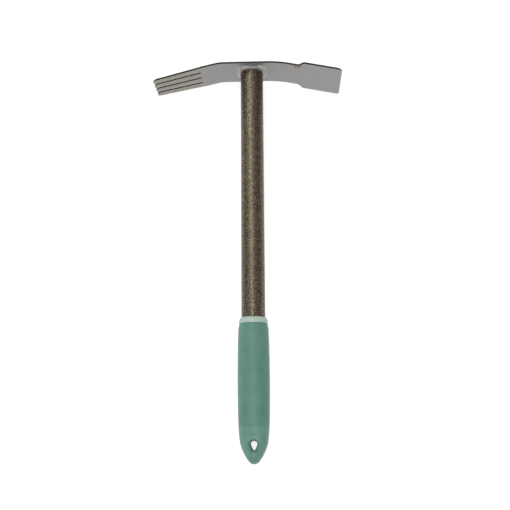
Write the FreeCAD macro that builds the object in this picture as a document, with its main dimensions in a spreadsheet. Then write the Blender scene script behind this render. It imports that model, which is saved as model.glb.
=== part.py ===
import FreeCAD, Part
import math
import os
import Sketcher

# A hand hoe and cultivator for the garden: one bent steel sheet with a hoe blade on one side and
# four tines on the other, welded across the end of a steel tube that has a two-shot moulded grip.
#
# The tool lies on its back: the shaft runs along Y with the head at +Y, the blade points to +X, the
# tines to -X, and +Z is up. The origin is where the shaft's axis meets the crown, the outer face
# of the head.

doc = FreeCAD.newDocument("hand_hoe")
sizes = doc.addObject("Spreadsheet::Sheet", "sizes")

# Millimetres and degrees. Reaches and roots are distances along X from the shaft's axis, and the
# grip's depths are distances below the collar.
DRIVING_SIZES = (
    ("sheet_gauge", 2.0),
    ("arm_width", 45.5),
    ("blade_width", 60.0),
    ("blade_reach", 95.0),
    ("blade_corner", 3.0),
    ("blade_shoulder", 50.0),
    ("blade_shoulder_run", 5.5),
    ("blade_slope", 11.7),
    ("blade_bend_at", 28.5),
    ("blade_bend_radius", 126.0),
    ("tine_reach", 104.0),
    ("tine_root", 54.0),
    ("tine_tip_width", 37.5),
    ("tine_gap", 2.5),
    ("tine_slope", 13.2),
    ("tine_bend_at", 34.0),
    ("tine_bend_radius", 30.0),
    ("bevel_run", 4.0),
    ("bevel_land", 1.0),
    ("tube_radius", 12.0),
    ("tube_wall", 1.2),
    ("tube_exposed", 266.5),
    ("tube_in_grip", 106.0),
    ("weld_on_plate", 3.6),
    ("weld_on_tube", 1.2),
    ("weld_hollow_radius", 14.0),
    ("collar_height", 6.2),
    ("collar_mouth_radius", 12.6),
    ("collar_radius", 14.5),
    ("collar_curve_height", 5.6),
    ("collar_curve_radius", 9.3),
    ("core_radius", 13.3),
    ("core_closed_end", 4.0),
    ("core_end_round", 3.0),
    ("cover_length", 136.9),
    ("lip_radius", 14.1),
    ("lip_round", 0.6),
    ("lead_in_radius", 15.15),
    ("lead_in_depth", 6.0),
    ("lead_in_curve", 25.0),
    ("barrel_end_radius", 15.42),
    ("barrel_end_depth", 93.5),
    ("barrel_curve", 1500.0),
    ("waist_radius", 14.0),
    ("waist_depth", 114.9),
    ("waist_curve", 236.0),
    ("nose_radius", 11.4),
    ("nose_depth", 123.7),
    ("nose_shoulder_curve", 34.0),
    ("nose_curve", 45.0),
    ("tip_radius", 5.0),
    ("tip_depth", 134.5),
    ("tip_curve", 6.41),
    ("hang_hole_radius", 3.45),
    ("hang_hole_depth", 117.0),
    ("hang_hole_tail", 7.2),
    ("hang_hole_tail_round", 0.9),
    ("hang_hole_funnel", 2.4),
)
for row, (name, number) in enumerate(DRIVING_SIZES, start=1):
    sizes.set("A%d" % row, name.replace("_", " "))
    sizes.set("B%d" % row, str(number))
    sizes.setAlias("B%d" % row, name)
doc.recompute()


# Expressions that several pieces share: heights along Y.
PLATE_UNDERSIDE = "-sizes.sheet_gauge"
COLLAR_TOP = "-(sizes.sheet_gauge + sizes.tube_exposed)"
COVER_TOP = "-(sizes.sheet_gauge + sizes.tube_exposed + sizes.collar_height)"
TUBE_END = "-(sizes.sheet_gauge + sizes.tube_exposed + sizes.tube_in_grip)"
CORE_END = "-(sizes.sheet_gauge + sizes.tube_exposed + sizes.tube_in_grip + sizes.core_closed_end)"


def value(expression):
    """The number that an expression on the sheet comes to now."""
    return float(sizes.evalExpression(expression))


def negated(expression):
    return "-(%s)" % expression


def new_body(label):
    body = doc.addObject("PartDesign::Body", label)
    body.Label = label
    body.Placement = FreeCAD.Placement()
    return body


def sketch_on(body, role, name):
    """A sketch on one of the body's own origin planes."""
    plane = [feature for feature in body.Origin.OriginFeatures if feature.Role == role][0]
    sketch = body.newObject("Sketcher::SketchObject", name)
    sketch.AttachmentSupport = [(plane, "")]
    sketch.MapMode = "FlatFace"
    return sketch


def bind(sketch, kind, where, expression):
    """Adds a dimension to the sketch and ties it to the sheet."""
    index = sketch.addConstraint(Sketcher.Constraint(kind, *where, value(expression)))
    sketch.setExpression("Constraints[%d]" % index, expression)


def arc_through(start, end, radius, turn):
    """The short arc from start to end, and which of its ends is the start."""
    middle = (start + end) * 0.5
    chord = end - start
    to_centre = math.sqrt(max(radius ** 2 - (chord.Length / 2) ** 2, 0.0))
    left = FreeCAD.Vector(-chord.y, chord.x, 0).normalize()
    side = 1 if turn == "left" else -1
    centre = middle + left * to_centre * side
    first, last = (start, end) if turn == "left" else (end, start)
    angles = [math.atan2(point.y - centre.y, point.x - centre.x) for point in (first, last)]
    circle = Part.Circle(centre, FreeCAD.Vector(0, 0, 1), radius)
    return Part.ArcOfCircle(circle, angles[0], angles[1]), (1 if turn == "left" else 2)


def draw_loop(sketch, corners):
    """Draws a closed outline. A corner is (x, y), or (x, y, radius, turn) when an arc leaves it,
    and turn says on which side of the way round the arc's centre lies."""
    points = [FreeCAD.Vector(value(corner[0]), value(corner[1]), 0) for corner in corners]
    sides = []
    for number, corner in enumerate(corners):
        start, end = points[number], points[(number + 1) % len(points)]
        if len(corner) == 4:
            curve, start_end = arc_through(start, end, value(corner[2]), corner[3])
        else:
            curve, start_end = Part.LineSegment(start, end), 1
        sides.append((sketch.addGeometry(curve, False), start_end))
    for number, (geometry, start_end) in enumerate(sides):
        following, following_start = sides[(number + 1) % len(sides)]
        joint = (geometry, 3 - start_end, following, following_start)
        sketch.addConstraint(Sketcher.Constraint("Coincident", *joint))
    for corner, (geometry, start_end) in zip(corners, sides):
        bind(sketch, "DistanceX", (-1, 1, geometry, start_end), corner[0])
        bind(sketch, "DistanceY", (-1, 1, geometry, start_end), corner[1])
        if len(corner) == 4:
            bind(sketch, "Radius", (geometry,), corner[2])


def draw_circle(sketch, radius):
    circle = Part.Circle(FreeCAD.Vector(), FreeCAD.Vector(0, 0, 1), value(radius))
    geometry = sketch.addGeometry(circle, False)
    sketch.addConstraint(Sketcher.Constraint("Coincident", geometry, 3, -1, 1))
    bind(sketch, "Radius", (geometry,), radius)


def turned(body, sketch, name):
    """Turns a half profile round the shaft's axis."""
    solid = body.newObject("PartDesign::Revolution", name)
    solid.Profile = sketch
    solid.ReferenceAxis = (sketch, ["V_Axis"])
    solid.Angle = 360.0
    return solid


def cut_through(body, sketch, name):
    """Cuts a sketch's outline out of the body, all the way through both ways."""
    cut = body.newObject("PartDesign::Pocket", name)
    cut.Profile = sketch
    cut.SideType = "Symmetric"
    cut.Type = "ThroughAll"
    return cut


def checked_cut(body, sketch, name):
    """A cut that has to take material away."""
    doc.recompute()
    before = body.Shape.Volume
    cut = cut_through(body, sketch, name)
    doc.recompute()
    if body.Shape.Volume > before - 1.0:
        raise RuntimeError("%s cuts nothing" % name)
    return cut


# The head is one sheet. Its side view is a flat crown with the tines' arm bent down sharply on one
# side and the blade's arm curved down gently on the other. Both ends run a little long, and the
# plan outline then trims them.
def head_side_view():
    over = "3"
    tine, blade = "sizes.tine_slope * 1deg", "sizes.blade_slope * 1deg"
    tine_tangent = "sizes.tine_bend_radius * tan(%s / 2)" % tine
    blade_tangent = "sizes.blade_bend_radius * tan(%s / 2)" % blade
    tine_run = "(sizes.tine_reach + %s - sizes.tine_bend_at)" % over
    blade_run = "(sizes.blade_reach + %s - sizes.blade_bend_at)" % over
    crown = [
        ("-(sizes.tine_reach + %s)" % over, "-%s * tan(%s)" % (tine_run, tine)),
        ("-(sizes.tine_bend_at + %s * cos(%s))" % (tine_tangent, tine),
         "-%s * sin(%s)" % (tine_tangent, tine)),
        ("-(sizes.tine_bend_at - %s)" % tine_tangent, "0"),
        ("sizes.blade_bend_at - %s" % blade_tangent, "0"),
        ("sizes.blade_bend_at + %s * cos(%s)" % (blade_tangent, blade),
         "-%s * sin(%s)" % (blade_tangent, blade)),
        ("sizes.blade_reach + %s" % over, "-%s * tan(%s)" % (blade_run, blade)),
    ]
    inward = [tine, tine, "0deg", "0deg", negated(blade), negated(blade)]
    underside = [
        ("%s + sizes.sheet_gauge * sin(%s)" % (x, lean), "%s - sizes.sheet_gauge * cos(%s)" % (y, lean))
        for (x, y), lean in zip(crown, inward)
    ]
    outer_tine, outer_blade = "sizes.tine_bend_radius", "sizes.blade_bend_radius"
    inner_tine = "sizes.tine_bend_radius - sizes.sheet_gauge"
    inner_blade = "sizes.blade_bend_radius - sizes.sheet_gauge"
    return [
        crown[0], crown[1] + (outer_tine, "right"), crown[2],
        crown[3] + (outer_blade, "right"), crown[4], crown[5],
        underside[5], underside[4] + (inner_blade, "left"), underside[3],
        underside[2] + (inner_tine, "left"), underside[1], underside[0],
    ]


# Seen from the crown: the arm, the slanted shoulders of the wider blade with its rounded corners,
# and the block of tines, which narrows to the tips.
def head_plan():
    arm, blade, tips = "sizes.arm_width / 2", "sizes.blade_width / 2", "sizes.tine_tip_width / 2"
    shoulder = "sizes.blade_shoulder"
    shoulder_end = "sizes.blade_shoulder + sizes.blade_shoulder_run"
    corner = "sizes.blade_corner"
    lower = [
        ("-sizes.tine_reach", negated(tips)),
        ("-sizes.tine_root", negated(arm)),
        (shoulder, negated(arm)),
        (shoulder_end, negated(blade)),
        ("sizes.blade_reach - %s" % corner, negated(blade), corner, "left"),
        ("sizes.blade_reach", "%s - %s" % (corner, blade)),
    ]
    upper = [
        ("sizes.blade_reach", "%s - %s" % (blade, corner), corner, "left"),
        ("sizes.blade_reach - %s" % corner, blade),
        (shoulder_end, blade),
        (shoulder, arm),
        ("-sizes.tine_root", arm),
        ("-sizes.tine_reach", tips),
    ]
    return lower + upper


def blank_border():
    """A rectangle that is larger than the whole sheet."""
    left, right = "-(sizes.tine_reach + 10)", "sizes.blade_reach + 10"
    half = "sizes.blade_width / 2 + 10"
    return [(left, negated(half)), (right, negated(half)), (right, half), (left, half)]


# The gaps between the tines fan in towards the tips, so that all the tines are equally wide at any
# distance from the shaft. Each gap has a round root.
def tine_gap(steps_from_middle):
    half_gap = "sizes.tine_gap / 2"
    past_tips = "-(sizes.tine_reach + 5)"
    root_centre = "-(sizes.tine_root + %s)" % half_gap
    at_root = "%d * (sizes.arm_width + sizes.tine_gap) / 4" % steps_from_middle
    at_tips = "%d * (sizes.tine_tip_width + sizes.tine_gap) / 4" % steps_from_middle
    return [
        (past_tips, "%s - %s" % (at_tips, half_gap)),
        (root_centre, "%s - %s" % (at_root, half_gap), half_gap, "left"),
        ("-sizes.tine_root", at_root, half_gap, "left"),
        (root_centre, "%s + %s" % (at_root, half_gap)),
        (past_tips, "%s + %s" % (at_tips, half_gap)),
    ]


def bevel(reach, bend_at, slope, side):
    """The wedge that is ground off the crown side of one end. side is 1 for +X and -1 for -X."""
    lean = "tan(%s * 1deg)" % slope
    top = "-(%s - %s) * %s" % (reach, bend_at, lean)
    start = ("%d * (%s - sizes.bevel_run)" % (side, reach),
             "%s + sizes.bevel_run * %s" % (top, lean))
    steep = "(%s + (sizes.sheet_gauge - sizes.bevel_land) / sizes.bevel_run)" % lean
    outside = "%d * (%s + sizes.bevel_run)" % (side, reach)
    above = (outside, "%s + sizes.bevel_run * %s" % (top, lean))
    below = (outside, "%s + sizes.bevel_run * %s - 2 * sizes.bevel_run * %s" % (top, lean, steep))
    return [start, above, below]


def make_head_plate():
    body = new_body("head_plate")
    side_view = sketch_on(body, "XY_Plane", "head_side_view")
    draw_loop(side_view, head_side_view())
    strip = body.newObject("PartDesign::Pad", "head_strip")
    strip.Profile = side_view
    strip.SideType = "Symmetric"
    strip.setExpression("Length", "sizes.blade_width + 4")

    plan = sketch_on(body, "XZ_Plane", "head_plan")
    draw_loop(plan, blank_border())
    draw_loop(plan, head_plan())
    checked_cut(body, plan, "head_trimmed")

    gaps = sketch_on(body, "XZ_Plane", "tine_gaps")
    for steps_from_middle in (-1, 0, 1):
        draw_loop(gaps, tine_gap(steps_from_middle))
    checked_cut(body, gaps, "tines_cut")

    bevels = sketch_on(body, "XY_Plane", "ground_edges")
    draw_loop(bevels, bevel("sizes.blade_reach", "sizes.blade_bend_at", "sizes.blade_slope", 1))
    draw_loop(bevels, bevel("sizes.tine_reach", "sizes.tine_bend_at", "sizes.tine_slope", -1))
    checked_cut(body, bevels, "edges_ground")
    return body


# The fillet weld that joins the tube's end to the underside of the head: wide and low, hollow faced.
def make_head_weld():
    body = new_body("head_weld")
    profile = sketch_on(body, "XY_Plane", "weld_profile")
    draw_loop(profile, [
        ("sizes.tube_radius", "%s - sizes.weld_on_tube" % PLATE_UNDERSIDE,
         "sizes.weld_hollow_radius", "right"),
        ("sizes.tube_radius + sizes.weld_on_plate", PLATE_UNDERSIDE),
        ("sizes.tube_radius", PLATE_UNDERSIDE),
    ])
    turned(body, profile, "weld_bead")
    return body


# The shaft is a plain round steel tube. It butts against the head and runs deep into the grip.
def make_shaft_tube():
    body = new_body("shaft_tube")
    ring = sketch_on(body, "XZ_Plane", "tube_ring")
    ring.setExpression("AttachmentOffset.Base.z", "sizes.sheet_gauge")
    draw_circle(ring, "sizes.tube_radius")
    draw_circle(ring, "sizes.tube_radius - sizes.tube_wall")
    tube = body.newObject("PartDesign::Pad", "tube")
    tube.Profile = ring
    tube.setExpression("Length", "sizes.tube_exposed + sizes.tube_in_grip")
    return body


# The grip's hard core: a sleeve with a closed end that is fixed on the tube, and whose flared mouth
# shows as the collar above the soft cover.
def make_grip_core():
    body = new_body("grip_core")
    profile = sketch_on(body, "XY_Plane", "core_profile")
    draw_loop(profile, [
        ("sizes.tube_radius", COLLAR_TOP),
        ("sizes.tube_radius", TUBE_END),
        ("0", TUBE_END),
        ("0", CORE_END),
        ("sizes.core_radius - sizes.core_end_round", CORE_END, "sizes.core_end_round", "left"),
        ("sizes.core_radius", "%s + sizes.core_end_round" % CORE_END),
        ("sizes.core_radius", COVER_TOP),
        ("sizes.collar_radius", COVER_TOP),
        ("sizes.collar_radius", "%s - sizes.collar_curve_height" % COLLAR_TOP,
         "sizes.collar_curve_radius", "left"),
        ("sizes.collar_mouth_radius", COLLAR_TOP),
    ])
    turned(body, profile, "core")
    return body


def grip_depth(depth):
    return "%s - %s" % (COVER_TOP, depth)


# The hang hole's outline: a round end towards the head, and straight sides that meet in a small
# round tail towards the tip.
def hang_hole_outline():
    centre = grip_depth("sizes.hang_hole_depth")
    big, small = "sizes.hang_hole_radius", "sizes.hang_hole_tail_round"
    lean = "asin((%s - %s) / (sizes.hang_hole_tail - %s))" % (big, small, small)
    tail_centre = "%s - (sizes.hang_hole_tail - %s)" % (centre, small)
    big_side = ("%s * cos(%s)" % (big, lean), "%s - %s * sin(%s)" % (centre, big, lean))
    tail_side = ("%s * cos(%s)" % (small, lean), "%s - %s * sin(%s)" % (tail_centre, small, lean))
    return [
        (negated(big_side[0]), big_side[1]),
        (negated(tail_side[0]), tail_side[1], small, "left"),
        ("0", "%s - sizes.hang_hole_tail" % centre, small, "left"),
        tail_side,
        big_side + (big, "left"),
        ("0", "%s + %s" % (centre, big), big, "left"),
    ]


# The soft cover is moulded over the core. It is a slightly swollen barrel with a bullet nose, and a
# hang hole with a funnelled rim goes through the solid nose.
def make_grip_cover():
    body = new_body("grip_cover")
    profile = sketch_on(body, "XY_Plane", "cover_profile")
    draw_loop(profile, [
        ("sizes.core_radius", COVER_TOP),
        ("sizes.core_radius", "%s + sizes.core_end_round" % CORE_END,
         "sizes.core_end_round", "right"),
        ("sizes.core_radius - sizes.core_end_round", CORE_END),
        ("0", CORE_END),
        ("0", grip_depth("sizes.cover_length"), "sizes.tip_curve", "left"),
        ("sizes.tip_radius", grip_depth("sizes.tip_depth"), "sizes.nose_curve", "left"),
        ("sizes.nose_radius", grip_depth("sizes.nose_depth"), "sizes.nose_shoulder_curve", "left"),
        ("sizes.waist_radius", grip_depth("sizes.waist_depth"), "sizes.waist_curve", "left"),
        ("sizes.barrel_end_radius", grip_depth("sizes.barrel_end_depth"),
         "sizes.barrel_curve", "left"),
        ("sizes.lead_in_radius", grip_depth("sizes.lead_in_depth"), "sizes.lead_in_curve", "left"),
        ("sizes.lip_radius", grip_depth("sizes.lip_round"), "sizes.lip_round", "left"),
        ("sizes.lip_radius - sizes.lip_round", COVER_TOP),
    ])
    turned(body, profile, "cover")

    hole = sketch_on(body, "XY_Plane", "hang_hole_outline")
    draw_loop(hole, hang_hole_outline())
    cut = checked_cut(body, hole, "hang_hole")

    wall_names = []
    for number, edge in enumerate(cut.Shape.Edges, start=1):
        box = edge.BoundBox
        near_axis = max(abs(box.XMin), abs(box.XMax)) < value("sizes.hang_hole_radius") + 0.1
        on_rim = abs(box.Center.z) > 1.0 and box.ZLength < value("sizes.core_radius")
        below_core = box.YMax < value(CORE_END) - 1.0
        above_tip = box.YMin > value(grip_depth("sizes.tip_depth"))
        if near_axis and on_rim and below_core and above_tip:
            wall_names.append("Edge%d" % number)
    funnel = body.newObject("PartDesign::Fillet", "hang_hole_funnel")
    funnel.Base = (cut, wall_names)
    funnel.setExpression("Radius", "sizes.hang_hole_funnel")
    return body


bodies = [
    make_head_plate(),
    make_head_weld(),
    make_shaft_tube(),
    make_grip_core(),
    make_grip_cover(),
]
doc.recompute()

for item in doc.Objects:
    if "Invalid" in item.State or "Error" in item.State:
        raise RuntimeError("%s failed: %s" % (item.Label, item.State))
for body in bodies:
    if body.Shape.isNull() or not body.Shape.isValid() or len(body.Shape.Solids) != 1:
        raise RuntimeError("%s isn't one sound solid" % body.Label)

os.makedirs("parts", exist_ok=True)
for body in bodies:
    body.Shape.exportStep("parts/%s.step" % body.Label)
    print(body.Label, round(body.Shape.Volume, 1), "mm3")
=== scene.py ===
import math

import bmesh
import bpy
from mathutils import Matrix, Vector, noise


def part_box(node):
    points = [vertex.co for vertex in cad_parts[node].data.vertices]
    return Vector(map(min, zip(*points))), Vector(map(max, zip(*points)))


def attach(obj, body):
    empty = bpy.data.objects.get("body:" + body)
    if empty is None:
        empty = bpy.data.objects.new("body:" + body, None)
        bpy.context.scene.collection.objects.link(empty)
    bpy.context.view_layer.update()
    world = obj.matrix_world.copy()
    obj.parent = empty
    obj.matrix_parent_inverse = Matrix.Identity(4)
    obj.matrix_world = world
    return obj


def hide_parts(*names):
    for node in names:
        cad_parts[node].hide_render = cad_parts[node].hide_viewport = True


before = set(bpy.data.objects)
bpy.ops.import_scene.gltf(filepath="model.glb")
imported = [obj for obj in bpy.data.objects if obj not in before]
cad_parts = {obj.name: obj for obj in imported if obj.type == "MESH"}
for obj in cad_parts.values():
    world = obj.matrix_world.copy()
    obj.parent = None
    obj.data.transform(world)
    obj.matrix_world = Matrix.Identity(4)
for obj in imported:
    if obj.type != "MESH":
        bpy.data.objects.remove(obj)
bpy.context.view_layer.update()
MM = 0.001


# ---- Head plate --------------------------------------------------------------------------------
# One sheet of mild steel, sheared to shape with three slots that leave four tines, then bent: the
# tines' arm sharply, the blade's arm in a gentle sweep. Its faces are sprayed satin grey, its
# sheared edges are near-black brown, and its two working ends are ground from the crown side.
head_low, head_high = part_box("head_plate")
GAUGE = 2.0 * MM
ARM_HALF = 22.75 * MM
BLADE_HALF = head_high.z
BLADE_REACH = head_high.x
TINE_REACH = -head_low.x
BLADE_SHOULDER = 50.0 * MM
BLADE_SHOULDER_RUN = 5.5 * MM
TINE_ROOT = 54.0 * MM
TINE_TIPS_HALF = 18.75 * MM
TINE_GAP = 2.5 * MM
TINE_STEP = 0.5 * MM
TINE_TIP_ROUND = 2.1 * MM
TINE_ARM = {"bend_at": 34.0 * MM, "slope": math.radians(13.2), "radius": 38.0 * MM}
BLADE_ARM = {"bend_at": 28.5 * MM, "slope": math.radians(11.7), "radius": 126.0 * MM}
STEP_ROUND = 0.8 * MM
SHOULDER_ROUNDS = (3.0 * MM, 1.2 * MM)
BLADE_CORNER_ROUND = 3.0 * MM
SLOT_END_ROUND = 0.49 * TINE_GAP
GROUND_RUN = 4.0 * MM
GROUND_LAND = 1.0 * MM
EDGE_ROUND = 0.15 * MM
SHARP_ANGLE = math.radians(50)


def sheet_height(x, depth):
    """Height along Y, at distance x from the shaft, of the layer depth inside the sheet."""
    arm = TINE_ARM if x < 0 else BLADE_ARM
    radius, slope = arm["radius"], arm["slope"]
    bend_start = arm["bend_at"] - radius * math.tan(slope / 2)
    inner = radius - depth
    along = abs(x) - bend_start
    if along < 0:
        return -depth
    if along < inner * math.sin(slope):
        return -radius + math.sqrt(inner ** 2 - along ** 2)
    return -(abs(x) - arm["bend_at"]) * math.tan(slope) - depth / math.cos(slope)


def sheet_thickness_lost(x):
    """How much the grinding takes off the crown side near the two ends."""
    reach = TINE_REACH if x < 0 else BLADE_REACH
    into_bevel = abs(x) - (reach - GROUND_RUN)
    return max(into_bevel / GROUND_RUN, 0.0) * (GAUGE - GROUND_LAND)


def rounded_outline(corners, step=math.radians(12)):
    """The corners (x, z, radius) of a closed outline, with each one turned into an arc."""
    points = []
    for number, (x, z, radius) in enumerate(corners):
        here = Vector((x, z))
        before = (Vector(corners[number - 1][:2]) - here).normalized()
        after = (Vector(corners[(number + 1) % len(corners)][:2]) - here).normalized()
        between = before.angle(after)
        turn = math.pi - between
        if radius == 0 or turn < 0.001:
            points.append(here)
            continue
        middle = (before + after).normalized()
        centre = here + middle * (radius / math.sin(between / 2))
        first = here + before * (radius / math.tan(between / 2)) - centre
        last = here + after * (radius / math.tan(between / 2)) - centre
        sense = math.copysign(1.0, first.x * last.y - first.y * last.x)
        count = max(2, round(turn / step))
        for part in range(count + 1):
            spin = Matrix.Rotation(sense * turn * part / count, 2)
            points.append(centre + spin @ first)
    return points


def head_corners():
    """The head's outline from the crown side, once round, with a rounding radius at each corner."""
    corners = []
    for side in (-1, 1):
        half = [
            (-TINE_ROOT - 1.2 * MM, side * (ARM_HALF - TINE_STEP), STEP_ROUND),
            (-TINE_ROOT + 0.4 * MM, side * ARM_HALF, STEP_ROUND),
            (BLADE_SHOULDER, side * ARM_HALF, SHOULDER_ROUNDS[0]),
            (BLADE_SHOULDER + BLADE_SHOULDER_RUN, side * BLADE_HALF, SHOULDER_ROUNDS[1]),
            (BLADE_REACH, side * BLADE_HALF, BLADE_CORNER_ROUND),
        ]
        corners += half if side < 0 else half[::-1]
    half_gap = TINE_GAP / 2
    corners.append((-TINE_REACH, TINE_TIPS_HALF, TINE_TIP_ROUND))
    for step in (1, 0, -1):
        at_tips = step * (2 * TINE_TIPS_HALF + TINE_GAP) / 4
        at_root = step * (2 * ARM_HALF + TINE_GAP) / 4
        corners.append((-TINE_REACH, at_tips + half_gap, TINE_TIP_ROUND))
        corners.append((-TINE_ROOT, at_root + half_gap, SLOT_END_ROUND))
        corners.append((-TINE_ROOT, at_root - half_gap, SLOT_END_ROUND))
        corners.append((-TINE_REACH, at_tips - half_gap, TINE_TIP_ROUND))
    corners.append((-TINE_REACH, -TINE_TIPS_HALF, TINE_TIP_ROUND))
    return corners


def head_cut_lines():
    """Where the flat outline is divided, so that it can bend: closely in the bends."""
    lines = [-(TINE_REACH - GROUND_RUN), BLADE_REACH - GROUND_RUN]
    for sign, arm in ((-1, TINE_ARM), (1, BLADE_ARM)):
        tangent = arm["radius"] * math.tan(arm["slope"] / 2)
        count = 14
        for part in range(count + 1):
            along = arm["bend_at"] - tangent + 2 * tangent * part / count
            lines.append(sign * along)
    lines += [x * MM for x in range(-96, 90, 8) if not 14 < abs(x) < 44]
    return sorted(lines)


def make_head_plate():
    """The flat outline, divided, bent and given its thickness. Its sheared walls are slot 1."""
    flat = bmesh.new()
    ring = [flat.verts.new((p.x, 0, p.y)) for p in rounded_outline(head_corners())]
    flat.faces.new(ring)
    for x in head_cut_lines():
        everything = flat.verts[:] + flat.edges[:] + flat.faces[:]
        bmesh.ops.bisect_plane(flat, geom=everything, dist=0.02 * MM,
                               plane_co=(x, 0, 0), plane_no=(1, 0, 0))
    bent = bmesh.new()
    crown, underside = {}, {}
    for v in flat.verts:
        x, z = v.co.x, v.co.z
        crown[v] = bent.verts.new((x, sheet_height(x, 0) - sheet_thickness_lost(x), z))
        underside[v] = bent.verts.new((x, sheet_height(x, GAUGE), z))
    for face in flat.faces:
        bent.faces.new([crown[v] for v in face.verts])
        bent.faces.new([underside[v] for v in reversed(face.verts)])
    for edge in flat.edges:
        if edge.is_boundary:
            a, b = edge.verts
            wall = bent.faces.new([crown[a], crown[b], underside[b], underside[a]])
            wall.material_index = 1
    bmesh.ops.recalc_face_normals(bent, faces=bent.faces[:])
    for face in bent.faces:
        face.smooth = True
    mesh = bpy.data.meshes.new("head_plate_sheet")
    bent.to_mesh(mesh)
    flat.free()
    bent.free()
    return mesh


def add_piece(name, mesh):
    """A new object for a mesh, in the scene."""
    piece = bpy.data.objects.new(name, mesh)
    bpy.context.scene.collection.objects.link(piece)
    return piece


def soften_edges(piece, width):
    """Rounds a piece's sharp edges a little and keeps its flat faces flat in the light."""
    rounding = piece.modifiers.new("edge_round", "BEVEL")
    rounding.width = width
    rounding.segments = 3
    rounding.limit_method = "ANGLE"
    rounding.angle_limit = SHARP_ANGLE
    weighting = piece.modifiers.new("flat_faces", "WEIGHTED_NORMAL")
    weighting.keep_sharp = False
    weighting.weight = 100


def new_group(name, inputs, outputs):
    """An empty shader node group: float inputs are (name, default), outputs are (name, kind)."""
    group = bpy.data.node_groups.new(name, "ShaderNodeTree")
    for title, default in inputs:
        socket = group.interface.new_socket(title, in_out="INPUT", socket_type="NodeSocketFloat")
        socket.default_value = default
    for title, kind in outputs:
        group.interface.new_socket(title, in_out="OUTPUT", socket_type=kind)
    return group, group.nodes.new("NodeGroupInput"), group.nodes.new("NodeGroupOutput")


def add_node(tree, kind, **settings):
    """A node with settings: in_NAME or in_NUMBER sets that input, or links a socket to it."""
    node = tree.nodes.new(kind)
    for title, setting in settings.items():
        if title.startswith("in_"):
            key = title[3:]
            socket = node.inputs[int(key)] if key.isdigit() else node.inputs[key.replace("_", " ")]
            if isinstance(setting, bpy.types.NodeSocket):
                tree.links.new(setting, socket)
            else:
                socket.default_value = setting
        else:
            setattr(node, title, setting)
    return node


def make_grain_group():
    """Fine spray or moulding grain: a height for bump, and a slow patchy mask for the finish."""
    group, given, result = new_group(
        "surface_grain",
        [("Grain per mm", 3.0), ("Patch per mm", 0.06), ("Patch Contrast", 1.0)],
        [("Height", "NodeSocketFloat"), ("Patches", "NodeSocketFloat")])
    place = add_node(group, "ShaderNodeTexCoord")
    fine = add_node(group, "ShaderNodeMath", operation="MULTIPLY",
                    in_0=given.outputs["Grain per mm"], in_1=1000.0)
    grain = add_node(group, "ShaderNodeTexNoise", in_Vector=place.outputs["Object"],
                     in_Scale=fine.outputs[0], in_Detail=3.0, in_Roughness=0.6)
    slow = add_node(group, "ShaderNodeMath", operation="MULTIPLY",
                    in_0=given.outputs["Patch per mm"], in_1=1000.0)
    patch = add_node(group, "ShaderNodeTexNoise", in_Vector=place.outputs["Object"],
                     in_Scale=slow.outputs[0], in_Detail=4.0, in_Roughness=0.55)
    centred = add_node(group, "ShaderNodeMath", operation="SUBTRACT",
                       in_0=patch.outputs["Fac"], in_1=0.5)
    strong = add_node(group, "ShaderNodeMath", operation="MULTIPLY_ADD", in_0=centred.outputs[0],
                      in_1=given.outputs["Patch Contrast"], in_2=0.5, use_clamp=True)
    group.links.new(grain.outputs["Fac"], result.inputs["Height"])
    group.links.new(strong.outputs[0], result.inputs["Patches"])
    return group


surface_grain = make_grain_group()


def make_scuff_group():
    """Fine scratches in one direction, broken up into short runs: a mask."""
    group, given, result = new_group(
        "scuffs",
        [("Across per mm", 2.0), ("Along per mm", 0.08), ("Lean", 0.5), ("Amount", 0.5)],
        [("Mask", "NodeSocketFloat")])
    place = add_node(group, "ShaderNodeTexCoord")
    turned = add_node(group, "ShaderNodeVectorRotate", rotation_type="Y_AXIS",
                      in_Vector=place.outputs["Object"], in_Angle=given.outputs["Lean"])
    across = add_node(group, "ShaderNodeMath", operation="MULTIPLY",
                      in_0=given.outputs["Across per mm"], in_1=1000.0)
    along = add_node(group, "ShaderNodeMath", operation="MULTIPLY",
                     in_0=given.outputs["Along per mm"], in_1=1000.0)
    stretch = add_node(group, "ShaderNodeCombineXYZ", in_X=along.outputs[0],
                       in_Y=along.outputs[0], in_Z=across.outputs[0])
    placed = add_node(group, "ShaderNodeVectorMath", operation="MULTIPLY",
                      in_0=turned.outputs[0], in_1=stretch.outputs[0])
    lines = add_node(group, "ShaderNodeTexNoise", in_Vector=placed.outputs[0], in_Scale=1.0,
                     in_Detail=2.0, in_Roughness=0.5)
    least = add_node(group, "ShaderNodeMath", operation="SUBTRACT", in_0=0.72,
                     in_1=given.outputs["Amount"])
    mask = add_node(group, "ShaderNodeMapRange", interpolation_type="SMOOTHSTEP",
                    in_Value=lines.outputs["Fac"], in_1=least.outputs[0], in_2=0.78)
    group.links.new(mask.outputs["Result"], result.inputs["Mask"])
    return group


scuffs = make_scuff_group()


def new_material(name, colour, metallic, roughness, specular=0.5):
    """A material whose Principled shader has plain values, and its node tree and shader."""
    material = bpy.data.materials.new(name)
    material.use_nodes = True
    material.diffuse_color = (*colour, 1.0)
    shader = material.node_tree.nodes["Principled BSDF"]
    shader.inputs["Base Color"].default_value = (*colour, 1.0)
    shader.inputs["Metallic"].default_value = metallic
    shader.inputs["Roughness"].default_value = roughness
    shader.inputs["Specular IOR Level"].default_value = specular
    return material, material.node_tree, shader


def place_group(tree, group, **values):
    """One use of a node group, with its inputs set: Grain_per_mm sets the input Grain per mm."""
    node = tree.nodes.new("ShaderNodeGroup")
    node.node_tree = group
    for title, value in values.items():
        node.inputs[title.replace("_", " ")].default_value = value
    return node


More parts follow.
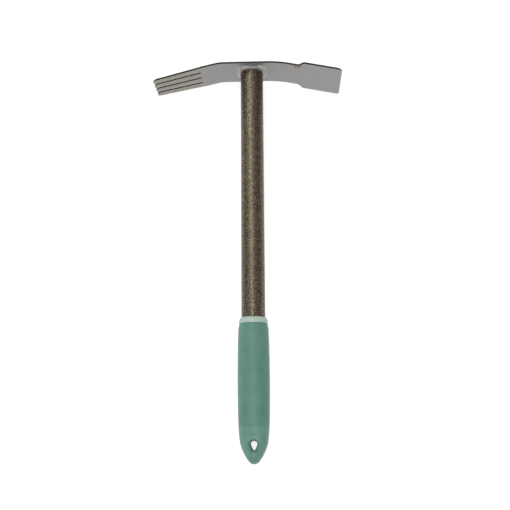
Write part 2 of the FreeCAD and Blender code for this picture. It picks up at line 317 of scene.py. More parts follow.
def add_bump(tree, shader, height, distance):
    """Bump from a height socket into the shader's normal: a height of 1 stands distance proud."""
    bump = add_node(tree, "ShaderNodeBump", in_Height=height, in_Distance=distance,
                    in_Strength=1.0)
    tree.links.new(bump.outputs["Normal"], shader.inputs["Normal"])


def colour_ramp(tree, factor, stops):
    """A ramp from a factor to a colour: stops are (position, colour)."""
    ramp = add_node(tree, "ShaderNodeValToRGB", in_Fac=factor)
    elements = ramp.color_ramp.elements
    while len(elements) > 1:
        elements.remove(elements[0])
    elements[0].position = stops[0][0]
    elements[0].color = (*stops[0][1], 1.0)
    for position, colour in stops[1:]:
        elements.new(position).color = (*colour, 1.0)
    return ramp.outputs["Color"]


def mix_colour(tree, factor, first, second, blend="MIX"):
    """Mixes two colours, each a socket or a plain colour."""
    mix = add_node(tree, "ShaderNodeMix", data_type="RGBA", blend_type=blend, clamp_factor=True)
    for socket, given in ((mix.inputs[0], factor), (mix.inputs[6], first), (mix.inputs[7], second)):
        if isinstance(given, bpy.types.NodeSocket):
            tree.links.new(given, socket)
        elif isinstance(given, tuple):
            socket.default_value = (*given, 1.0)
        else:
            socket.default_value = given
    return mix.outputs[2]


def make_shoulder_wear_group():
    """Where the paint is rubbed off and browned, round one of the blade's shoulders: a mask."""
    group, _, result = new_group("shoulder_wear", [], [("Mask", "NodeSocketFloat")])
    place = add_node(group, "ShaderNodeTexCoord")
    away = add_node(group, "ShaderNodeVectorMath", operation="DISTANCE",
                    in_0=place.outputs["Object"],
                    in_1=(BLADE_SHOULDER - 1 * MM, sheet_height(BLADE_SHOULDER, 0), ARM_HALF))
    ragged = add_node(group, "ShaderNodeTexNoise", in_Vector=place.outputs["Object"],
                      in_Scale=600.0, in_Detail=3.0)
    reach = add_node(group, "ShaderNodeMath", operation="MULTIPLY_ADD",
                     in_0=ragged.outputs["Fac"], in_1=-9 * MM, in_2=9.5 * MM)
    worn = add_node(group, "ShaderNodeMath", operation="SUBTRACT", in_0=reach.outputs[0],
                    in_1=away.outputs["Value"])
    mask = add_node(group, "ShaderNodeMapRange", interpolation_type="SMOOTHSTEP",
                    in_Value=worn.outputs[0], in_1=0.0, in_2=1.2 * MM, in_4=0.85)
    group.links.new(mask.outputs["Result"], result.inputs["Mask"])
    return group


shoulder_wear = make_shoulder_wear_group()


def make_head_paint():
    """Satin grey paint. Towards the tines it is rubbed through to a warmer, lighter grey."""
    material, tree, shader = new_material("head_paint", (0.28, 0.28, 0.273), 0.55, 0.45)
    grain = place_group(tree, surface_grain, Grain_per_mm=1.6, Patch_per_mm=0.05,
                        Patch_Contrast=1.6)
    base = colour_ramp(tree, grain.outputs["Patches"],
                       [(0.2, (0.268, 0.268, 0.261)), (0.8, (0.292, 0.292, 0.284))])
    place = add_node(tree, "ShaderNodeTexCoord")
    split = add_node(tree, "ShaderNodeSeparateXYZ", in_Vector=place.outputs["Object"])
    at_tines = add_node(tree, "ShaderNodeMapRange", interpolation_type="SMOOTHSTEP",
                        in_Value=split.outputs["X"], in_1=-TINE_ROOT - 4 * MM,
                        in_2=-TINE_ROOT + 2 * MM, in_3=1.0, in_4=0.0)
    rubbed = place_group(tree, scuffs, Across_per_mm=1.8, Along_per_mm=0.25, Lean=0.7, Amount=0.3)
    worn = add_node(tree, "ShaderNodeMath", operation="MULTIPLY", in_0=rubbed.outputs["Mask"],
                    in_1=at_tines.outputs["Result"])
    tine_tone = mix_colour(tree, at_tines.outputs["Result"], base, (0.315, 0.298, 0.268))
    colour = mix_colour(tree, worn.outputs[0], tine_tone, (0.17, 0.155, 0.13))
    flecks = add_node(tree, "ShaderNodeMapRange", in_Value=grain.outputs["Height"],
                      in_1=0.3, in_2=0.7, in_3=0.84, in_4=1.16)
    colour = mix_colour(tree, 1.0, colour, flecks.outputs["Result"], blend="MULTIPLY")
    colour = mix_colour(tree, place_group(tree, shoulder_wear).outputs["Mask"], colour,
                        (0.15, 0.105, 0.066))
    tree.links.new(colour, shader.inputs["Base Color"])
    rough = add_node(tree, "ShaderNodeMapRange", in_Value=grain.outputs["Patches"],
                     in_3=0.38, in_4=0.48)
    tree.links.new(rough.outputs["Result"], shader.inputs["Roughness"])
    add_bump(tree, shader, grain.outputs["Height"], 0.03 * MM)
    return material


def make_head_edge_paint():
    """The sheared edge: near-black brown, much darker than the faces, and browner round the worn
    shoulder.
    """
    material, tree, shader = new_material(
        "head_edge_paint", (0.024, 0.017, 0.011), 0.0, 0.65, specular=0.2)
    grain = place_group(tree, surface_grain, Grain_per_mm=2.5, Patch_per_mm=0.3,
                        Patch_Contrast=2.0)
    colour = colour_ramp(tree, grain.outputs["Patches"],
                         [(0.2, (0.014, 0.009, 0.005)), (0.8, (0.036, 0.026, 0.017))])
    colour = mix_colour(tree, place_group(tree, shoulder_wear).outputs["Mask"], colour,
                        (0.070, 0.044, 0.024))
    tree.links.new(colour, shader.inputs["Base Color"])
    add_bump(tree, shader, grain.outputs["Height"], 0.06 * MM)
    return material


head_plate = add_piece("head_plate_pressing", make_head_plate())
head_plate.data.materials.append(make_head_paint())
head_plate.data.materials.append(make_head_edge_paint())
soften_edges(head_plate, EDGE_ROUND)
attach(head_plate, "root")
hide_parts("head_plate")


# ---- Head weld ---------------------------------------------------------------------------------
# The weld bead that joins the tube's end to the head's underside, laid in one pass round the tube.
# It is wide on the sheet and low on the tube, rippled like overlapping scales, and sprayed over.
TUBE_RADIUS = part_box("shaft_tube")[1].x
WELD_ON_TUBE = 1.2 * MM
WELD_SIDES = 16.4 * MM
WELD_NEAR = 18.4 * MM
WELD_SQUARENESS = 3.4
WELD_RIPPLES = 30
WELD_CROWN = 0.55 * MM
WELD_WANDER = 0.35 * MM
WELD_EMBED = 0.15 * MM
# Painted shade: a dark line at the bead's upper toe, from here to full strength.
TOE_SHADE_FROM, TOE_SHADE_FULL = WELD_NEAR - 1.15 * MM, WELD_NEAR - 0.75 * MM


def weld_toe(angle):
    """How far the bead's toe is from the axis: a squarish ring, wider on its upper side."""
    reach_z = WELD_NEAR if math.sin(angle) > 0 else WELD_SIDES
    across = abs(math.cos(angle) / WELD_SIDES) ** WELD_SQUARENESS
    upward = abs(math.sin(angle) / reach_z) ** WELD_SQUARENESS
    return (across + upward) ** (-1 / WELD_SQUARENESS)


def weld_section(angle):
    """The bead's section at an angle round the tube, from the tube to the toe on the sheet:
    (distance from the axis, height below the sheet)."""
    wander = noise.noise(Vector((3 * math.cos(angle), 3 * math.sin(angle), 1.7)))
    on_plate = weld_toe(angle) - TUBE_RADIUS + WELD_WANDER * wander
    on_tube = WELD_ON_TUBE * (1 - 0.25 * wander)
    section = [(TUBE_RADIUS - WELD_EMBED, on_tube)]
    count = 16
    for part in range(count + 1):
        run = part / count
        lag = 0.55 * math.sin(math.pi * run)
        lump = noise.noise(Vector((9 * math.cos(angle), 9 * math.sin(angle), 5 * run)))
        ripple = abs(math.sin(0.5 * WELD_RIPPLES * angle + 2.2 * lag))
        crown = WELD_CROWN * math.sin(math.pi * run) * (0.8 + 0.45 * ripple + 0.5 * lump)
        section.append((TUBE_RADIUS + on_plate * run, on_tube * (1 - run) + crown))
    section.append((TUBE_RADIUS + on_plate + 0.02 * MM, -WELD_EMBED))
    section.append((TUBE_RADIUS - WELD_EMBED, -WELD_EMBED))
    return section


def make_weld():
    """The bead, swept once round the tube."""
    around = WELD_RIPPLES * 12
    bead = bmesh.new()
    rings = []
    for part in range(around):
        angle = 2 * math.pi * part / around
        x_side, z_side = math.cos(angle), math.sin(angle)
        ring = [bead.verts.new((out * x_side, -GAUGE - down, out * z_side))
                for out, down in weld_section(angle)]
        rings.append(ring)
    for part, ring in enumerate(rings):
        following = rings[(part + 1) % around]
        for i in range(len(ring)):
            j = (i + 1) % len(ring)
            bead.faces.new([ring[i], ring[j], following[j], following[i]])
    bmesh.ops.recalc_face_normals(bead, faces=bead.faces[:])
    for face in bead.faces:
        face.smooth = True
    mesh = bpy.data.meshes.new("weld_bead")
    bead.to_mesh(mesh)
    bead.free()
    return mesh


def make_weld_paint():
    """The head's grey paint, patchy over the bead and paler there as a painted highlight, with
    painted shade at its upper toe.
    """
    material, tree, shader = new_material("weld_paint", (0.40, 0.40, 0.385), 0.15, 0.5)
    grain = place_group(tree, surface_grain, Grain_per_mm=1.2, Patch_per_mm=0.25,
                        Patch_Contrast=2.0)
    # The bead's paint is paler than the sheet's: a painted highlight for the light the bead
    # catches.
    colour = colour_ramp(tree, grain.outputs["Patches"],
                         [(0.3, (0.30, 0.298, 0.28)), (0.7, (0.52, 0.52, 0.505))])
    place = add_node(tree, "ShaderNodeTexCoord")
    split = add_node(tree, "ShaderNodeSeparateXYZ", in_Vector=place.outputs["Object"])
    # Painted shade darkens the bead's upper toe to a dark line.
    toe_shade = add_node(tree, "ShaderNodeMapRange", interpolation_type="SMOOTHSTEP",
                    in_Value=split.outputs["Z"], in_1=TOE_SHADE_FROM, in_2=TOE_SHADE_FULL,
                    in_3=0.0, in_4=0.8)
    colour = mix_colour(tree, toe_shade.outputs["Result"], colour, (0.055, 0.048, 0.040))
    tree.links.new(colour, shader.inputs["Base Color"])
    add_bump(tree, shader, grain.outputs["Height"], 0.05 * MM)
    return material


head_weld = add_piece("head_weld_bead", make_weld())
head_weld.data.materials.append(make_weld_paint())
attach(head_weld, "root")
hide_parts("head_weld")


# ---- Shaft tube --------------------------------------------------------------------------------
# Round steel tube with a drawn, seamless look, in hammered bronze paint: the paint pulls into
# small pale beads with dark channels between them. Its lower end is hidden in the grip.
tube_low, tube_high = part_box("shaft_tube")
TUBE_WALL = 1.2 * MM
TUBE_EDGE_ROUND = 0.15 * MM


def turned_mesh(name, profile, around, radius_at=None):
    """Turns a closed profile of (radius, y) round the Y axis. radius_at may change a radius."""
    solid = bmesh.new()
    rings = []
    for radius, y in profile:
        if radius == 0:
            rings.append([solid.verts.new((0, y, 0))])
            continue
        ring = []
        for part in range(around):
            angle = 2 * math.pi * part / around
            r = radius_at(radius, y, angle) if radius_at else radius
            ring.append(solid.verts.new((r * math.cos(angle), y, r * math.sin(angle))))
        rings.append(ring)
    for number, ring in enumerate(rings):
        following = rings[(number + 1) % len(rings)]
        if len(ring) == 1 and len(following) == 1:
            continue
        for part in range(around):
            after = (part + 1) % around
            corners = [ring[part % len(ring)], ring[after % len(ring)],
                       following[after % len(following)], following[part % len(following)]]
            solid.faces.new(list(dict.fromkeys(corners)))
    bmesh.ops.recalc_face_normals(solid, faces=solid.faces[:])
    for face in solid.faces:
        face.smooth = True
    mesh = bpy.data.meshes.new(name)
    solid.to_mesh(mesh)
    solid.free()
    return mesh


def make_tube():
    """The tube's wall, with its outside divided along its length."""
    bore = TUBE_RADIUS - TUBE_WALL
    lengths = 60
    outside = [(TUBE_RADIUS, tube_high.y + (tube_low.y - tube_high.y) * part / lengths)
               for part in range(lengths + 1)]
    return turned_mesh("tube_wall", outside + [(bore, tube_low.y), (bore, tube_high.y)], 128)


def make_hammered_bronze():
    """Beads of bright bronze, a millimetre across, in dark channels, under a thin clear coat."""
    material, tree, shader = new_material("hammered_bronze", (0.16, 0.135, 0.098), 0.9, 0.34)
    place = add_node(tree, "ShaderNodeTexCoord")
    drift = add_node(tree, "ShaderNodeTexNoise", in_Vector=place.outputs["Object"],
                     in_Scale=420.0, in_Detail=1.0)
    shifted = add_node(tree, "ShaderNodeMix", data_type="VECTOR", in_0=0.0011,
                       in_4=place.outputs["Object"], in_5=drift.outputs["Color"])
    beads = add_node(tree, "ShaderNodeTexVoronoi", feature="SMOOTH_F1", in_Scale=1050.0,
                     in_Smoothness=0.35, in_Randomness=1.0)
    tree.links.new(shifted.outputs[1], beads.inputs["Vector"])
    crest = add_node(tree, "ShaderNodeMapRange", interpolation_type="SMOOTHSTEP",
                     in_Value=beads.outputs["Distance"], in_1=0.12, in_2=0.62, in_3=1.0, in_4=0.0)
    grain = place_group(tree, surface_grain, Grain_per_mm=1.1, Patch_per_mm=0.9,
                        Patch_Contrast=2.6)
    tone = colour_ramp(tree, crest.outputs["Result"],
                       [(0.0, (0.018, 0.014, 0.009)), (0.42, (0.12, 0.096, 0.060)),
                        (1.0, (0.66, 0.54, 0.33))])
    colour = mix_colour(tree, grain.outputs["Patches"], tone, (0.13, 0.108, 0.073))
    tree.links.new(colour, shader.inputs["Base Color"])
    shader.inputs["Coat Weight"].default_value = 0.2
    shader.inputs["Coat Roughness"].default_value = 0.18
    rough = add_node(tree, "ShaderNodeMapRange", in_Value=crest.outputs["Result"],
                     in_3=0.5, in_4=0.3)
    tree.links.new(rough.outputs["Result"], shader.inputs["Roughness"])
    add_bump(tree, shader, crest.outputs["Result"], 0.11 * MM)
    return material


shaft_tube = add_piece("shaft_tube_wall", make_tube())
shaft_tube.data.materials.append(make_hammered_bronze())
soften_edges(shaft_tube, TUBE_EDGE_ROUND)
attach(shaft_tube, "root")
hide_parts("shaft_tube")


# ---- Grip core ---------------------------------------------------------------------------------
# The grip's hard sleeve, moulded in pale mint polypropylene and closed at its end. Only its flared
# mouth shows, as the collar above the cover, with a rounded shoulder and a fine lip on the tube.
core_low, core_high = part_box("grip_core")
CORE_RADIUS = 13.3 * MM
CORE_END_ROUND = 3.0 * MM
COLLAR_HEIGHT = 6.2 * MM
COLLAR_RADIUS = core_high.x
COLLAR_MOUTH = 12.6 * MM
COLLAR_LIP = 0.35 * MM
COVER_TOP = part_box("grip_cover")[1].y


def make_core():
    """The sleeve, turned: the lip on the tube, the collar, the hidden sleeve and its closed end."""
    profile = [(TUBE_RADIUS, core_high.y - 0.5 * MM),
               (TUBE_RADIUS + 0.12 * MM, core_high.y - 0.08 * MM)]
    steps = 16
    for part in range(steps + 1):
        turn = math.pi / 2 * part / steps
        out = COLLAR_MOUTH - 0.3 * MM + (COLLAR_RADIUS - COLLAR_MOUTH + 0.3 * MM) * math.sin(turn)
        down = (COLLAR_HEIGHT - 0.9 * MM) * (1 - math.cos(turn))
        profile.append((out, core_high.y - down))
    for part in range(7):
        turn = math.pi / 2 * part / 6
        profile.append((COLLAR_RADIUS - COLLAR_LIP * (1 - math.cos(turn)),
                        COVER_TOP + COLLAR_LIP * (1 - math.sin(turn))))
    profile += [(CORE_RADIUS, COVER_TOP), (CORE_RADIUS, core_low.y + CORE_END_ROUND)]
    for part in range(1, 7):
        turn = math.pi / 2 * part / 6
        profile.append((CORE_RADIUS - CORE_END_ROUND * (1 - math.cos(turn)),
                        core_low.y + CORE_END_ROUND * (1 - math.sin(turn))))
    profile += [(0, core_low.y), (0, tube_low.y), (TUBE_RADIUS, tube_low.y)]
    return turned_mesh("core_sleeve", profile, 96)


def make_core_plastic():
    """Pale mint polypropylene, a little translucent, with a faint moulding grain."""
    material, tree, shader = new_material("core_plastic", (0.39, 0.50, 0.425), 0.0, 0.42)
    grain = place_group(tree, surface_grain, Grain_per_mm=1.5, Patch_per_mm=0.12,
                        Patch_Contrast=1.4)
    colour = colour_ramp(tree, grain.outputs["Patches"],
                         [(0.2, (0.375, 0.485, 0.41)), (0.8, (0.41, 0.52, 0.445))])
    tree.links.new(colour, shader.inputs["Base Color"])
    shader.inputs["Subsurface Weight"].default_value = 0.08
    shader.inputs["Subsurface Radius"].default_value = (0.6, 1.0, 0.8)
    shader.inputs["Subsurface Scale"].default_value = 1.0 * MM
    add_bump(tree, shader, grain.outputs["Height"], 0.012 * MM)
    return material


grip_core = add_piece("grip_core_sleeve", make_core())
grip_core.data.materials.append(make_core_plastic())
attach(grip_core, "root")
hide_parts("grip_core")


# ---- Grip cover --------------------------------------------------------------------------------
# Soft green rubber moulded over the core in a two-part mould that leaves a fine seam down each
# side. It swells a little in the palm and ends in a solid bullet nose, and the hang hole goes
# through the nose between two dished mouths.
cover_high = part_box("grip_cover")[1]
HOLE_RADIUS = 3.45 * MM
HOLE_TAIL_ROUND = 1.5 * MM
HOLE_TAIL_DROP = 5.5 * MM
HOLE_Y = cover_high.y - 117.0 * MM
DISH_RADIUS = 6.8 * MM
DISH_TAIL_ROUND = 3.4 * MM
DISH_TAIL_DROP = 13.1 * MM
DISH_Y = HOLE_Y + 3.8 * MM
DISH_DEPTH = 1.9 * MM
HOLE_ROUNDING = 1.9 * MM
HOLE_DRAFT = 1.6 * MM
HOLE_DRAFT_PINCH = 0.22
HOLE_DRAFT_HALF = 8.0 * MM
RIBS_END_Y = cover_high.y - 100.5 * MM
RIB_PITCH = 1.7 * MM
SEAM_HEIGHT = 0.10 * MM
SEAM_HALF_WIDTH = 0.35 * MM

# The cover's outline as (radius, depth below the collar, radius of the arc to the next), in mm.
COVER_OUTLINE = (
    (14.1, 0.6, 25.0),
    (15.15, 6.0, 1500.0),
    (15.42, 93.5, 236.0),
    (14.0, 114.9, 34.0),
    (11.4, 123.7, 45.0),
    (5.0, 134.5, 6.41),
    (0.0, 136.9, None),
)


def cover_radius(depth):
    """The cover's radius at a depth below the collar, both in mm."""
    for (r0, d0, bend), (r1, d1, _) in zip(COVER_OUTLINE, COVER_OUTLINE[1:]):
        if depth <= d1:
            start, end = Vector((d0, r0)), Vector((d1, r1))
            chord = end - start
            to_centre = math.sqrt(max(bend ** 2 - (chord.length / 2) ** 2, 0.0))
            centre = (start + end) / 2 + Vector((chord.y, -chord.x)).normalized() * to_centre
            inside = max(bend ** 2 - (depth - centre.x) ** 2, 0.0)
            return max(centre.y + math.sqrt(inside), 0.0)
    return 0.0


def cover_profile():
    """The turned profile, outside from the lip to the tip and back up the core."""
    lip_radius, lip = COVER_OUTLINE[0][:2]
    tip_start, tip_bend = COVER_OUTLINE[-2][1:]
    tip = COVER_OUTLINE[-1][1]
    profile = []
    for part in range(6):
        turn = math.pi / 2 * part / 6
        profile.append((lip_radius - lip * (1 - math.sin(turn)), lip * (1 - math.cos(turn))))
    depth = lip
    while depth < tip_start:
        profile.append((cover_radius(depth), depth))
        depth += 0.9 if depth < 100 else 0.4
    first_turn = math.asin((tip_start - tip + tip_bend) / tip_bend)
    for part in range(13):
        turn = first_turn + (math.pi / 2 - first_turn) * part / 12
        radius = tip_bend * math.cos(turn) if part < 12 else 0.0
        profile.append((radius, tip - tip_bend * (1 - math.sin(turn))))
    outside = [(radius * MM, cover_high.y - depth * MM) for radius, depth in profile]
    core = [(0, core_low.y), (CORE_RADIUS - CORE_END_ROUND, core_low.y),
            (CORE_RADIUS, core_low.y + CORE_END_ROUND), (CORE_RADIUS, cover_high.y)]
    return outside + core


def seamed_radius(radius, y, angle):
    """Adds the mould's seam, a fine raised line down each side."""
    if radius <= CORE_RADIUS and y > core_low.y - 1 * MM:
        return radius
    across = radius * math.sin(angle)
    ridge = SEAM_HEIGHT * math.exp(-(across / SEAM_HALF_WIDTH) ** 2)
    fade = min(radius / (6 * MM), 1.0)
    return radius + ridge * fade


def teardrop_distance(x, y, radius, small, drop):
    """Distance outside a teardrop whose round end is at the origin and whose tail is at -drop."""
    x, y = abs(x), -y
    lean = (radius - small) / drop
    level = math.sqrt(1 - lean ** 2)
    along = -lean * x + level * y
    if along < 0:
        return math.hypot(x, y) - radius
    if along > level * drop:
        return math.hypot(x, y - drop) - small
    return level * x + lean * y - radius


def sunk_by_dish(x, y):
    """How deep the mouth lies below the barrel: a shallow dish, then the hole's round rim."""
    from_hole = teardrop_distance(x, y - HOLE_Y, HOLE_RADIUS, HOLE_TAIL_ROUND, HOLE_TAIL_DROP)
    to_rim = -teardrop_distance(x, y - DISH_Y, DISH_RADIUS, DISH_TAIL_ROUND, DISH_TAIL_DROP)
    if to_rim <= 0:
        return 0.0
    from_hole = max(from_hole, 0.0)
    across = from_hole / (from_hole + to_rim)
    dish = DISH_DEPTH * (1 - across ** 3) ** 1.2
    near = max(1 - from_hole / HOLE_ROUNDING, 0.0)
    return dish + HOLE_ROUNDING * (1 - math.sqrt(1 - min(near, 0.995) ** 2))


def sink_mouths(mesh):
    """Presses the two dished mouths into the nose."""
    for vertex in mesh.vertices:
        x, y, z = vertex.co
        if abs(z) > 4 * MM and y < core_low.y:
            vertex.co.z -= math.copysign(sunk_by_dish(x, y), z)


def make_hole_cutter():
    """A prism with the hang hole's teardrop outline, drawn in at its crown end inside the nose."""
    tail = HOLE_TAIL_DROP + HOLE_TAIL_ROUND
    outline = []
    for part in range(64):
        turn = 2 * math.pi * part / 64
        x, y = HOLE_RADIUS * math.cos(turn), HOLE_RADIUS * math.sin(turn)
        if y < 0:
            down = math.sin(-turn)
            x = math.copysign(HOLE_RADIUS * (1 - down ** 1.7) ** 0.75, x)
            y = -tail * down
        outline.append((x, HOLE_Y + y))
    cutter = bmesh.new()
    rings = []
    for z in (-20 * MM, -HOLE_DRAFT_HALF, -1 * MM, 1 * MM, HOLE_DRAFT_HALF, 20 * MM):
        draft = max(1 - abs(z) / HOLE_DRAFT_HALF, 0.0)
        ring = []
        for x, y in outline:
            top = max((y - HOLE_Y) / HOLE_RADIUS, 0.0)
            ring.append(cutter.verts.new((x * (1 - HOLE_DRAFT_PINCH * top * draft),
                                          y - HOLE_DRAFT * draft * top, z)))
        rings.append(ring)
    cutter.faces.new(rings[0][::-1])
    cutter.faces.new(rings[-1])
    for lower, upper in zip(rings, rings[1:]):
        for i in range(len(outline)):
            j = (i + 1) % len(outline)
            cutter.faces.new([lower[i], lower[j], upper[j], upper[i]])
    bmesh.ops.recalc_face_normals(cutter, faces=cutter.faces[:])
    mesh = bpy.data.meshes.new("hang_hole_cutter")
    cutter.to_mesh(mesh)
    cutter.free()
    return mesh


def cut_away(piece, cutter):
    """Takes a cutter's solid out of a piece for good, and removes the cutter."""
    cut = piece.modifiers.new("cut", "BOOLEAN")
    cut.operation = "DIFFERENCE"
    cut.solver = "EXACT"
    cut.object = cutter
    bpy.context.view_layer.update()
    graph = bpy.context.evaluated_depsgraph_get()
    mesh = bpy.data.meshes.new_from_object(piece.evaluated_get(graph))
    piece.modifiers.clear()
    old = piece.data
    piece.data = mesh
    bpy.data.meshes.remove(old)
    bpy.data.objects.remove(cutter)


def make_hole_rim_shade_group():
    """Painted shade on the hang hole's rim, stronger towards its lower end: a mask that fades
    outwards.
    """
    group, _, result = new_group("hole_rim_shade", [], [("Mask", "NodeSocketFloat")])
    place = add_node(group, "ShaderNodeTexCoord")
    split = add_node(group, "ShaderNodeSeparateXYZ", in_Vector=place.outputs["Object"])
    along = add_node(group, "ShaderNodeMapRange", in_Value=split.outputs["Y"],
                     in_1=HOLE_Y, in_2=HOLE_Y - HOLE_TAIL_DROP)
    spine = add_node(group, "ShaderNodeMath", operation="MULTIPLY_ADD",
                     in_0=along.outputs["Result"], in_1=-HOLE_TAIL_DROP, in_2=HOLE_Y)
    beside = add_node(group, "ShaderNodeMath", operation="SUBTRACT",
                      in_0=split.outputs["Y"], in_1=spine.outputs[0])
    offset = add_node(group, "ShaderNodeCombineXYZ", in_X=split.outputs["X"],
                      in_Y=beside.outputs[0])
    away = add_node(group, "ShaderNodeVectorMath", operation="LENGTH", in_0=offset.outputs[0])
    edge = add_node(group, "ShaderNodeMath", operation="MULTIPLY_ADD",
                    in_0=along.outputs["Result"], in_1=HOLE_TAIL_ROUND - HOLE_RADIUS,
                    in_2=HOLE_RADIUS)
    outside = add_node(group, "ShaderNodeMath", operation="SUBTRACT",
                       in_0=away.outputs["Value"], in_1=edge.outputs[0])
    # The painted shade grows stronger towards the hole's lower end.
    low = add_node(group, "ShaderNodeMapRange", in_Value=split.outputs["Y"],
                   in_1=HOLE_Y + HOLE_RADIUS, in_2=HOLE_Y - HOLE_RADIUS, in_3=0.0, in_4=0.72)
    fade = add_node(group, "ShaderNodeMapRange", interpolation_type="SMOOTHSTEP",
                    in_Value=outside.outputs[0], in_1=0.4 * MM, in_2=3.0 * MM,
                    in_3=1.0, in_4=0.0)
    mask = add_node(group, "ShaderNodeMath", operation="MULTIPLY",
                    in_0=fade.outputs["Result"], in_1=low.outputs["Result"])
    group.links.new(mask.outputs[0], result.inputs["Mask"])
    return group


hole_rim_shade = make_hole_rim_shade_group()


def make_cover_rubber():
    """Matte green rubber with fine rings round the barrel, a smoother nose painted lighter as a
    painted sheen, painted shade round the hang hole, and faint grain.
    """
    material, tree, shader = new_material(
        "cover_rubber", (0.095, 0.230, 0.176), 0.0, 0.5, specular=0.4)
    grain = place_group(tree, surface_grain, Grain_per_mm=2.2, Patch_per_mm=0.07,
                        Patch_Contrast=1.6)
    colour = colour_ramp(tree, grain.outputs["Patches"],
                         [(0.2, (0.084, 0.208, 0.158)), (0.8, (0.110, 0.252, 0.198))])
    flecks = add_node(tree, "ShaderNodeMapRange", in_Value=grain.outputs["Height"],
                      in_1=0.3, in_2=0.7, in_3=0.88, in_4=1.12)
    colour = mix_colour(tree, 1.0, colour, flecks.outputs["Result"], blend="MULTIPLY")
    place = add_node(tree, "ShaderNodeTexCoord")
    split = add_node(tree, "ShaderNodeSeparateXYZ", in_Vector=place.outputs["Object"])
    smooth_sheen_nose = add_node(tree, "ShaderNodeMapRange", interpolation_type="SMOOTHSTEP",
                          in_Value=split.outputs["Y"], in_1=RIBS_END_Y,
                          in_2=RIBS_END_Y - 1.6 * MM)
    # Below the rings the nose is painted lighter: a painted sheen.
    colour = mix_colour(tree, smooth_sheen_nose.outputs["Result"], colour, (1.25, 1.15, 1.19),
                        blend="MULTIPLY")
    # Painted shade darkens the rubber round the hang hole's rim.
    colour = mix_colour(tree, place_group(tree, hole_rim_shade).outputs["Mask"], colour,
                        (0.035, 0.085, 0.062))
    tree.links.new(colour, shader.inputs["Base Color"])
    rough = add_node(tree, "ShaderNodeMapRange", in_Value=grain.outputs["Patches"],
                     in_3=0.44, in_4=0.58)
    tree.links.new(rough.outputs["Result"], shader.inputs["Roughness"])
    shader.inputs["Sheen Weight"].default_value = 0.06
    shader.inputs["Sheen Roughness"].default_value = 0.5
    turn = add_node(tree, "ShaderNodeMath", operation="MULTIPLY", in_0=split.outputs["Y"],
                    in_1=2 * math.pi / RIB_PITCH)
    wave = add_node(tree, "ShaderNodeMath", operation="SINE", in_0=turn.outputs[0])
    flat = add_node(tree, "ShaderNodeMath", operation="SUBTRACT", in_0=1.0,
                    in_1=smooth_sheen_nose.outputs["Result"])
    ribs = add_node(tree, "ShaderNodeMath", operation="MULTIPLY", in_0=wave.outputs[0],
                    in_1=flat.outputs[0])
    relief = add_node(tree, "ShaderNodeMath", operation="MULTIPLY_ADD", in_0=ribs.outputs[0],
                      in_1=1.2, in_2=grain.outputs["Height"])
    add_bump(tree, shader, relief.outputs[0], 0.02 * MM)
    return material


grip_cover = add_piece("grip_cover_moulding",
                       turned_mesh("cover_moulding", cover_profile(), 208, seamed_radius))
sink_mouths(grip_cover.data)
cut_away(grip_cover, add_piece("hang_hole_cutter", make_hole_cutter()))
for polygon in grip_cover.data.polygons:
    polygon.use_smooth = True
grip_cover.data.set_sharp_from_angle(angle=SHARP_ANGLE)
grip_cover.data.materials.append(make_cover_rubber())
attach(grip_cover, "root")
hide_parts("grip_cover")


# ---- Table, light and camera -------------------------------------------------------------------
# The hoe lies as it rests by itself, on one shoulder of the blade, the root of the outer tine and
# the belly of the grip. The table is a plain white sheet that glows a little, under a long soft
# light over the head's side and a small one past the nose.
TABLE_HALF = 8.0
TABLE_GAP = 0.15 * MM
RESTS_ON = (
    Vector((BLADE_SHOULDER + BLADE_SHOULDER_RUN, sheet_height(BLADE_SHOULDER, 0), -BLADE_HALF)),
    Vector((-TINE_ROOT, sheet_height(-TINE_ROOT, GAUGE), -ARM_HALF)),
    Vector((-0.75 * MM, cover_high.y - 95 * MM, -15.4 * MM)),
)


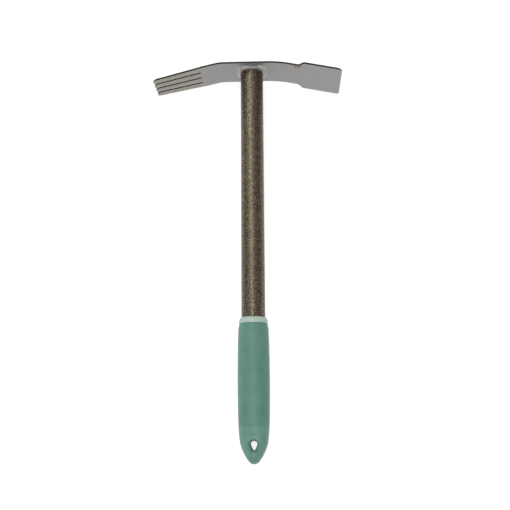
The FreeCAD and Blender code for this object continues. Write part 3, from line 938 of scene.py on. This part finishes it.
def make_table():
    """A flat sheet just under the three points that the hoe rests on."""
    up = (RESTS_ON[1] - RESTS_ON[0]).cross(RESTS_ON[2] - RESTS_ON[0]).normalized()
    if up.z < 0:
        up = -up
    turn = Vector((0, 0, 1)).rotation_difference(up)
    centre = RESTS_ON[0] - up * TABLE_GAP
    sheet = bmesh.new()
    corners = [(-1, -1), (1, -1), (1, 1), (-1, 1)]
    sheet.faces.new([sheet.verts.new(centre + turn @ Vector((x, y, 0)) * TABLE_HALF)
                     for x, y in corners])
    mesh = bpy.data.meshes.new("table_sheet")
    sheet.to_mesh(mesh)
    sheet.free()
    material, _, shader = new_material(
        "table_white", (0.35, 0.35, 0.35), 0.0, 0.75, specular=0.2)
    shader.inputs["Emission Color"].default_value = (1.0, 1.0, 1.0, 1.0)
    shader.inputs["Emission Strength"].default_value = 0.8
    table = add_piece("table_sheet", mesh)
    table.data.materials.append(material)


def add_softbox(name, place, size, power):
    """A white rectangular area light, size wide and long, that looks at the middle of the hoe."""
    light = bpy.data.lights.new(name, "AREA")
    light.shape = "RECTANGLE"
    light.size, light.size_y = size
    light.energy = power
    lamp = bpy.data.objects.new(name, light)
    lamp.location = place
    middle = Vector((0, -0.2, 0))
    lamp.rotation_euler = (middle - Vector(place)).to_track_quat("-Z", "Y").to_euler()
    bpy.context.scene.collection.objects.link(lamp)


def make_camera():
    """The camera stands over the grip, tipped from square to the hoe and rolled a little. Its
    place is given from the collar, along its own axes."""
    tilt, roll, turn = math.radians(12.39), math.radians(-2.12), math.radians(0.385)
    to_camera = (Matrix.Rotation(turn, 3, "Z") @ Matrix.Rotation(-tilt, 3, "X")
                 @ Matrix.Rotation(roll, 3, "Y"))
    stand = Vector((1.66, 62.88, 806.8)) * MM
    data = bpy.data.cameras.new("camera")
    data.sensor_width = 36.0
    data.lens = 56.47
    data.clip_start = 0.01
    camera = bpy.data.objects.new("camera", data)
    collar = Vector((0, core_high.y + 0.43 * MM, 0))
    turned = to_camera.transposed()
    camera.matrix_world = Matrix.Translation(collar + turned @ stand) @ turned.to_4x4()
    bpy.context.scene.collection.objects.link(camera)
    bpy.context.scene.camera = camera


make_table()
add_softbox("key_softbox", (-0.38, 0.45, 1.36), (0.50, 1.9), 15.5)
add_softbox("low_softbox", (0.16, -0.95, 1.25), (0.36, 0.36), 7.5)
world = bpy.data.worlds.new("studio")
world.use_nodes = True
sky = world.node_tree.nodes["Background"]
sky.inputs["Color"].default_value = (1.0, 1.0, 1.0, 1.0)
sky.inputs["Strength"].default_value = 0.28
bpy.context.scene.world = world
bpy.context.scene.view_settings.view_transform = "Standard"
make_camera()
